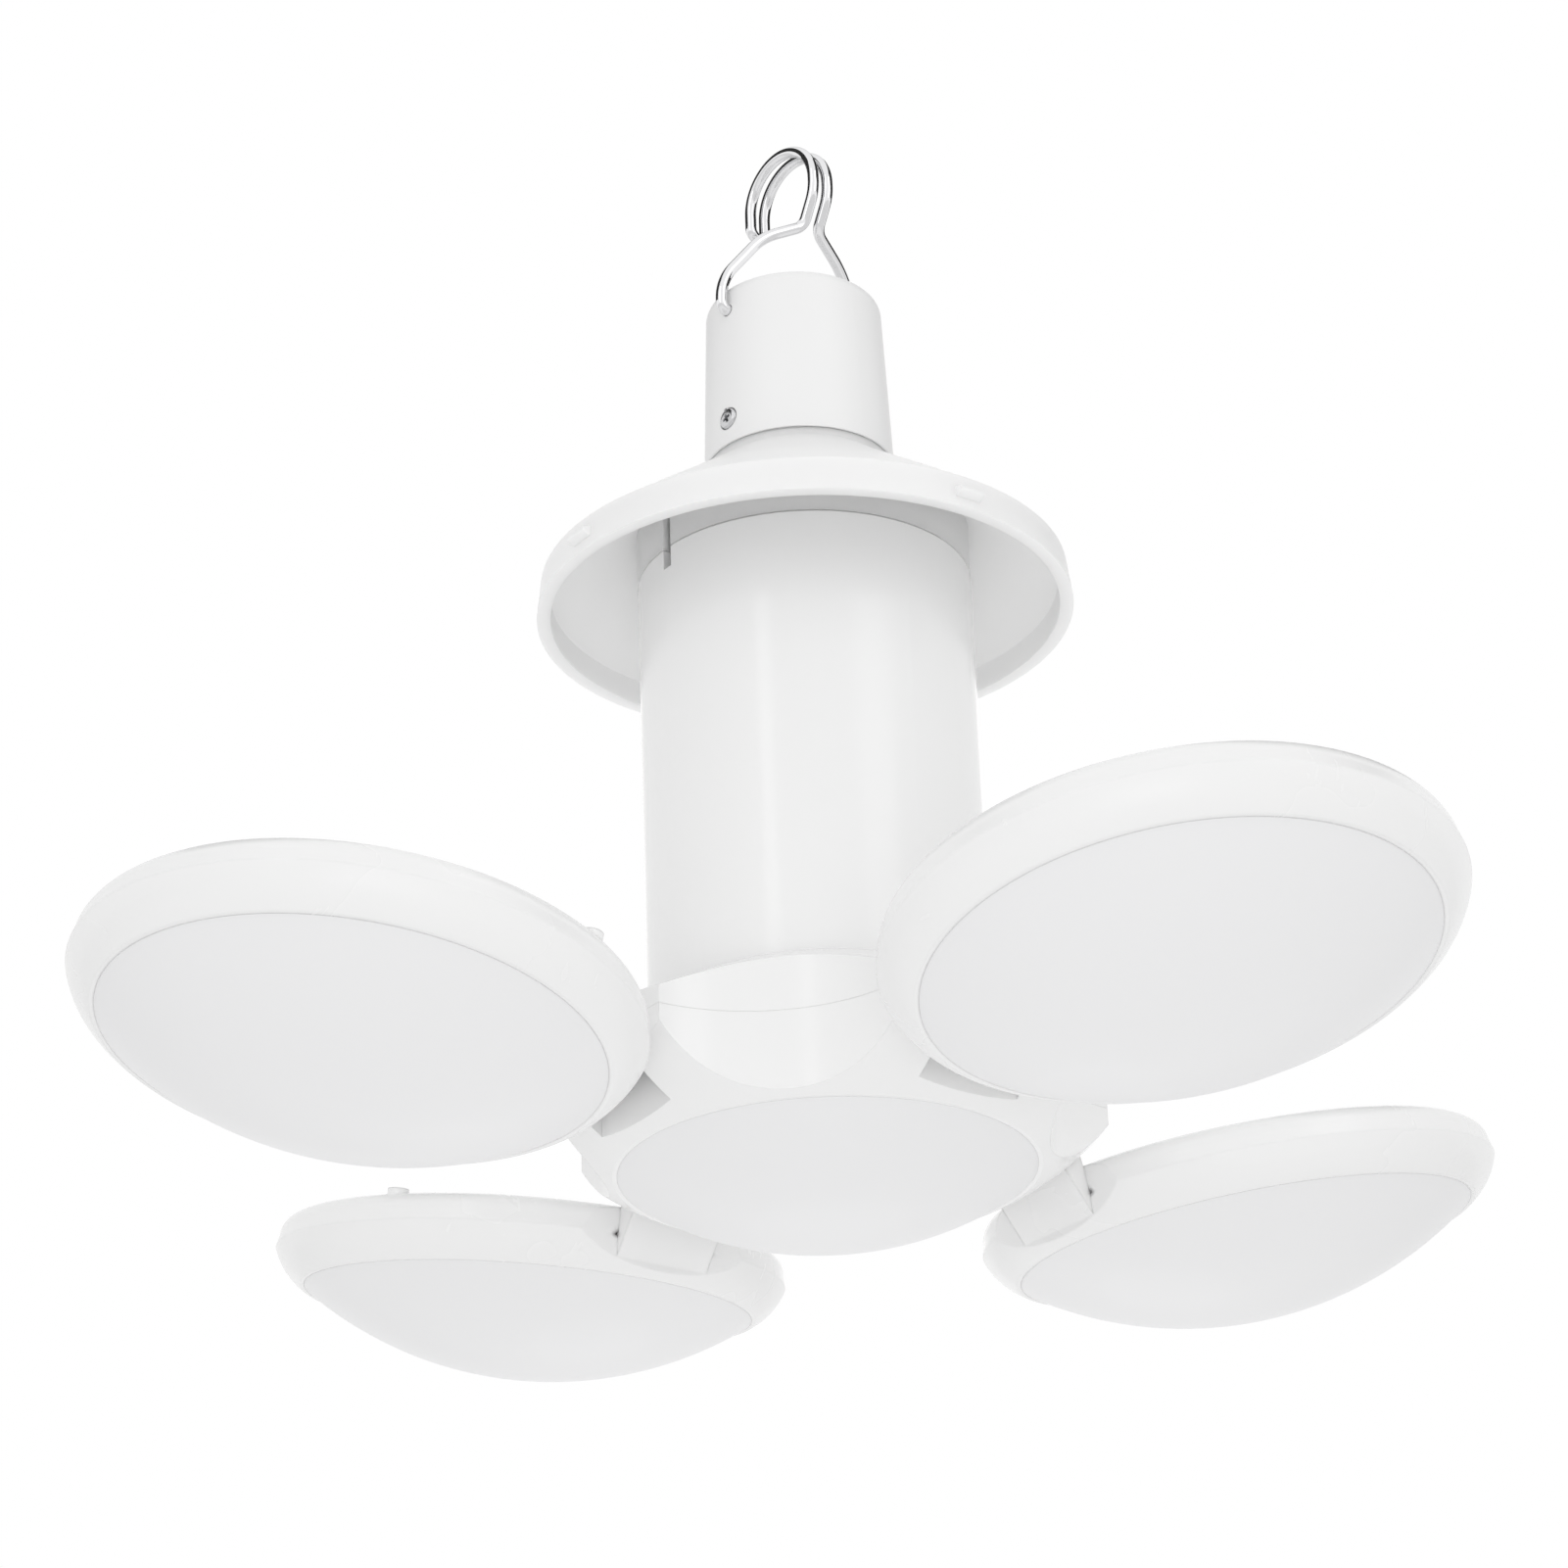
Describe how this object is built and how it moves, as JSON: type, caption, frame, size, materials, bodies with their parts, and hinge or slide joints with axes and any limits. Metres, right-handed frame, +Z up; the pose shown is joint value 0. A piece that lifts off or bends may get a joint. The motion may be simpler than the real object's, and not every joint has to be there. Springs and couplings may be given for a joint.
{
  "type": "foldable led bulb",
  "caption": "Hanging battery lamp with a wire hook, a round column and a scalloped hub whose hinged, domed light petals fold up along the column.",
  "frame": {"origin": "the hanging point, inside the top of the hook's crown, on the lamp's long axis", "axes": "+Z up along the lamp's long axis; petal 1 points along +X, petal 2 along +Y, petal 3 along -X and petal 4 along -Y"},
  "size_m": [0.2746, 0.2746, 0.2118],
  "materials": {
    "chrome_wire": "polished",
    "white_shell": "moulded gloss",
    "milky_lens": "milky satin",
    "screw_steel": "plated",
    "pin_steel": "drawn",
    "led_board": "white coated",
    "led_package": "resin",
    "black_plastic": "moulded",
    "cell_can": "sleeved",
    "circuit_board": "lacquered",
    "socket_metal": "plated"
  },
  "bodies": {
    "hook": {"hook": "chrome_wire"},
    "housing": {"cap_screws": "screw_steel", "hook_cap": "white_shell", "collar": "white_shell", "column_housing": "white_shell", "hub_bowl": "white_shell", "hub_lens": "milky_lens", "hub_led_board": "led_board", "hub_leds": "led_package", "hub_screws": "screw_steel", "hub_board_screws": "screw_steel", "hinge_pins": "pin_steel", "battery_holder": "black_plastic", "battery_cells": "cell_can", "control_board": "circuit_board", "push_switch": "black_plastic", "charge_socket": "socket_metal"},
    "power_button": {"power_button": "white_shell"},
    "petal_1": {"petal_1_shell": "white_shell", "petal_1_lens": "milky_lens", "petal_1_led_board": "led_board", "petal_1_leds": "led_package", "petal_1_board_screws": "screw_steel"},
    "petal_2": {"petal_2_shell": "white_shell", "petal_2_lens": "milky_lens", "petal_2_led_board": "led_board", "petal_2_leds": "led_package", "petal_2_board_screws": "screw_steel"},
    "petal_3": {"petal_3_shell": "white_shell", "petal_3_lens": "milky_lens", "petal_3_led_board": "led_board", "petal_3_leds": "led_package", "petal_3_board_screws": "screw_steel"},
    "petal_4": {"petal_4_shell": "white_shell", "petal_4_lens": "milky_lens", "petal_4_led_board": "led_board", "petal_4_leds": "led_package", "petal_4_board_screws": "screw_steel"}
  },
  "joints": [
    {"name": "hook_pivot", "type": "hinge", "parent": "hook", "child": "housing", "pos_m": [0, 0, -0.03725], "axis": [-0.1045, 0.9945, 0], "range_deg": [-85, 85]},
    {"name": "petal_1_hinge", "type": "hinge", "parent": "housing", "child": "petal_1", "pos_m": [0.044, 0, -0.18785], "axis": [0, -1, 0], "range_deg": [0, 79.5]},
    {"name": "petal_2_hinge", "type": "hinge", "parent": "housing", "child": "petal_2", "pos_m": [0, 0.044, -0.18785], "axis": [1, 0, 0], "range_deg": [0, 79.5]},
    {"name": "petal_3_hinge", "type": "hinge", "parent": "housing", "child": "petal_3", "pos_m": [-0.044, 0, -0.18785], "axis": [0, 1, 0], "range_deg": [0, 79.5]},
    {"name": "petal_4_hinge", "type": "hinge", "parent": "housing", "child": "petal_4", "pos_m": [0, -0.044, -0.18785], "axis": [-1, 0, 0], "range_deg": [0, 79.5]},
    {"name": "power_button_press", "type": "slide", "parent": "housing", "child": "power_button", "axis": [0, 0, -1], "range_m": [0, 0.0008], "stiffness_N_per_m": 1500, "springref_m": -0.0005}
  ]
}
